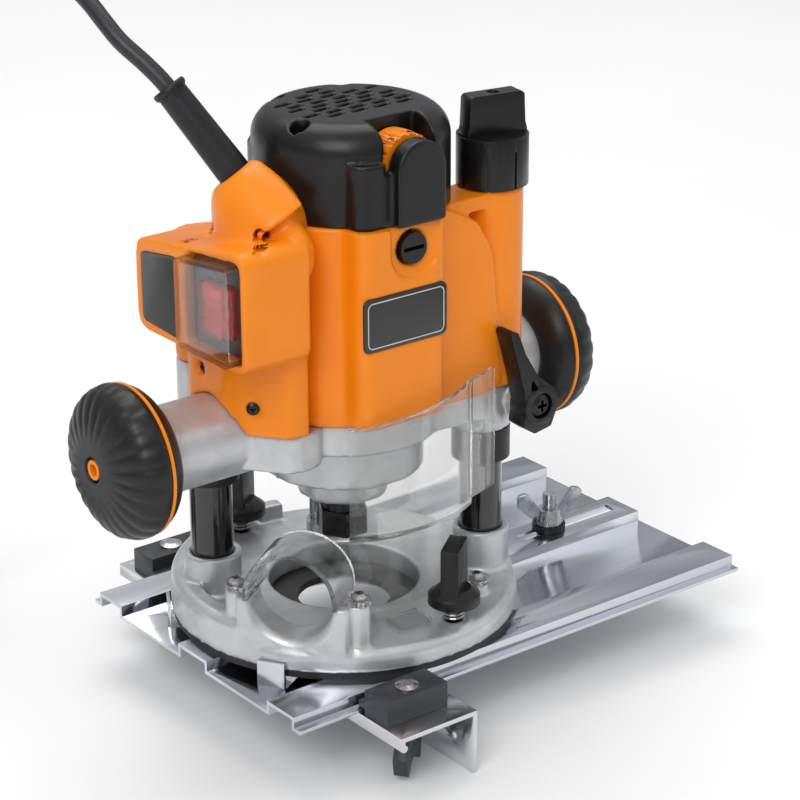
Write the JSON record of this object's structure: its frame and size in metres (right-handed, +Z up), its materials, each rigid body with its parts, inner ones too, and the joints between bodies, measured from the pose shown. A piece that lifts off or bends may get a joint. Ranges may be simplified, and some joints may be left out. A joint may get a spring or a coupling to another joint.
{
  "type": "plunge router",
  "caption": "Plunge router with round base, two columns, knobbed handles, clear chip hood and mains cord, standing on a corrugated edge-guide plate with a sliding fence.",
  "frame": {"origin": "on the spindle axis in the plane of the sole, at the middle of the bit opening", "axes": "+Z up along the spindle; +X along the handles, switch box at -X; front with the cutter hood at -Y"},
  "size_m": [0.3445, 0.3605, 0.3163],
  "materials": {
    "castings": "silver-grey painted casting, satin",
    "orange_shell": "orange, satin-gloss moulded plastic",
    "black_cap": "black, fine satin texture",
    "black_soft": "black soft-touch grip",
    "black_rubber": "black rubber",
    "black_metal": "glossy black hard coat",
    "zinc": "bright zinc plate",
    "steel": "machined steel",
    "spring_steel": "plated spring wire",
    "clear": "clear polycarbonate",
    "slate": "dark slate moulded plastic",
    "sole": "black sliding sole",
    "plates": "dark label plate, blank",
    "red": "red rocker",
    "board": "circuit board",
    "iron": "stacked sheet",
    "copper": "copper",
    "brass": "brass",
    "carbon": "carbon",
    "nut": "blackened steel"
  },
  "bodies": {
    "base": {"base_casting": "castings", "sole_plate": "sole", "guide_columns": "black_metal", "chip_hood": "clear", "hood_screws": "zinc", "hand_springs": "spring_steel", "guide_plate": "zinc", "cord_tail": "black_rubber", "cord_coil": "black_rubber", "plug": "black_rubber", "plug_pins": "zinc"},
    "hand_screw_front": {"hand_screw_front": "black_soft"},
    "hand_screw_rear": {"hand_screw_rear": "black_soft"},
    "turret": {"depth_turret": "black_metal"},
    "fence": {"fence": "zinc", "clamp_blocks": "slate", "fence_bolts": "zinc"},
    "fence_knob_front": {"fence_knob_front": "slate"},
    "fence_knob_rear": {"fence_knob_rear": "slate"},
    "pin": {"pin_stud": "zinc", "pin_washer": "black_rubber"},
    "wing_nut": {"wing_nut": "zinc"},
    "head": {"motor_bracket": "castings", "wiper_rings": "black_rubber", "plunge_springs": "spring_steel", "knob_left": "black_soft", "knob_right": "black_soft", "knob_rings": "orange_shell", "knob_bolts": "zinc", "switch_housing": "orange_shell", "motor_housing": "orange_shell", "motor_cap": "black_cap", "cap_screws": "steel", "body_screws": "steel", "badge_plate": "plates", "rating_plate": "plates", "switch_body": "black_cap", "switch_boot": "clear", "speed_board": "board", "brush_holders": "brass", "brush_caps": "black_cap", "carbon_brushes": "carbon", "stator": "iron", "bearings": "steel", "bearing_bridge": "castings", "lever_screw": "steel", "cord_boot": "black_rubber", "cord": "black_rubber"},
    "rotor": {"spindle": "steel", "armature": "copper", "commutator": "copper", "cooling_fan": "black_cap", "collet": "steel", "collet_nut": "nut"},
    "dial": {"speed_dial": "orange_shell"},
    "rocker": {"switch_rocker": "red"},
    "adjuster": {"adjust_knob": "black_cap"},
    "lever": {"lock_lever": "black_cap"},
    "spindle_lock": {"spindle_lock": "black_cap"},
    "depth_rod": {"depth_rod": "steel"}
  },
  "joints": [
    {"name": "plunge", "type": "slide", "parent": "base", "child": "head", "axis": [0, 0, 1], "range_m": [-0.028, 0], "stiffness_N_per_m": 500, "springref_m": 0.12, "deforming": ["plunge_springs"]},
    {"name": "spindle_turn", "type": "hinge", "parent": "head", "child": "rotor", "pos_m": [0, 0, 0], "axis": [0, 0, 1], "continuous": true},
    {"name": "speed_wheel", "type": "hinge", "parent": "head", "child": "dial", "pos_m": [0.002, 0, 0.204], "axis": [0, 1, 0], "range_deg": [-120, 120]},
    {"name": "power_switch", "type": "hinge", "parent": "head", "child": "rocker", "pos_m": [-0.07, 0, 0.155], "axis": [0, 1, 0], "range_deg": [-7, 7]},
    {"name": "fine_adjust", "type": "hinge", "parent": "head", "child": "adjuster", "pos_m": [0.0571, -0.028, 0], "axis": [0, 0, 1], "continuous": true},
    {"name": "plunge_lock", "type": "hinge", "parent": "head", "child": "lever", "pos_m": [0.0645, 0, 0.0903], "axis": [0, 1, 0], "range_deg": [0, 25], "stiffness_Nm_per_rad": 0.6},
    {"name": "spindle_hold", "type": "slide", "parent": "head", "child": "spindle_lock", "axis": [0, -1, 0], "range_m": [0, 0.0035], "stiffness_N_per_m": 500},
    {"name": "depth_stop", "type": "slide", "parent": "head", "child": "depth_rod", "axis": [0, 0, 1], "range_m": [-0.017, 0.03]},
    {"name": "stop_turret", "type": "hinge", "parent": "base", "child": "turret", "pos_m": [0.022, 0.042, 0], "axis": [0, 0, 1], "continuous": true},
    {"name": "hand_screw_front_turn", "type": "hinge", "parent": "base", "child": "hand_screw_front", "pos_m": [0.009, -0.0635, 0], "axis": [0, 0, 1], "continuous": true},
    {"name": "hand_screw_rear_turn", "type": "hinge", "parent": "base", "child": "hand_screw_rear", "pos_m": [-0.009, 0.0635, 0], "axis": [0, 0, 1], "continuous": true},
    {"name": "fence_slide", "type": "slide", "parent": "base", "child": "fence", "axis": [1, 0, 0], "range_m": [-0.028, 0.15]},
    {"name": "fence_knob_front_turn", "type": "hinge", "parent": "fence", "child": "fence_knob_front", "pos_m": [-0.0325, -0.085, 0], "axis": [0, 0, 1], "continuous": true},
    {"name": "fence_knob_rear_turn", "type": "hinge", "parent": "fence", "child": "fence_knob_rear", "pos_m": [-0.0325, 0.085, 0], "axis": [0, 0, 1], "continuous": true},
    {"name": "pin_slide", "type": "slide", "parent": "base", "child": "pin", "axis": [1, 0, 0], "range_m": [-0.012, 0.033]},
    {"name": "wing_nut_turn", "type": "hinge", "parent": "pin", "child": "wing_nut", "pos_m": [0.117, 0.001, 0], "axis": [0, 0, 1], "continuous": true}
  ]
}
